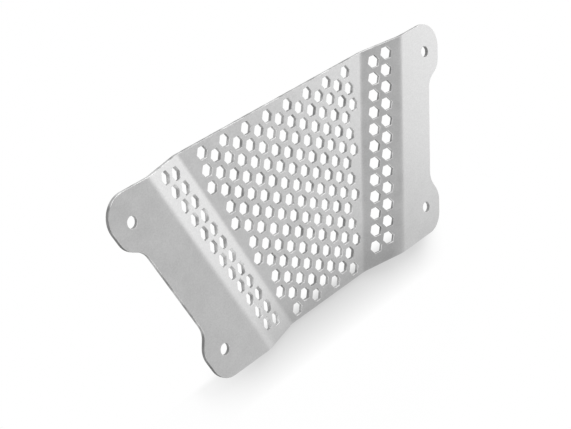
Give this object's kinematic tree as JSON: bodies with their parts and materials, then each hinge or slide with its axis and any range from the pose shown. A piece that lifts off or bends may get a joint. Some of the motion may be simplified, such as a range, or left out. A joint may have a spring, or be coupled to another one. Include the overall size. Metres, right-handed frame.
{
  "type": "engine guard grille",
  "caption": "Folded sheet metal guard with a honeycomb panel, sloping perforated sides and raised flanges whose ears take the screws.",
  "frame": {"origin": "on the rear face of the middle panel, at the middle of the plate's width and height, so the plate lies on Z = 0", "axes": "+X to the right, +Y towards the wide edge, +Z out of the front, towards which the flanges stand"},
  "size_m": [0.2348, 0.1038, 0.0094],
  "materials": {
    "sheet": "satin, finely brushed, with plain cut edges"
  },
  "bodies": {
    "root": {"guard_plate": "sheet"}
  },
  "joints": []
}
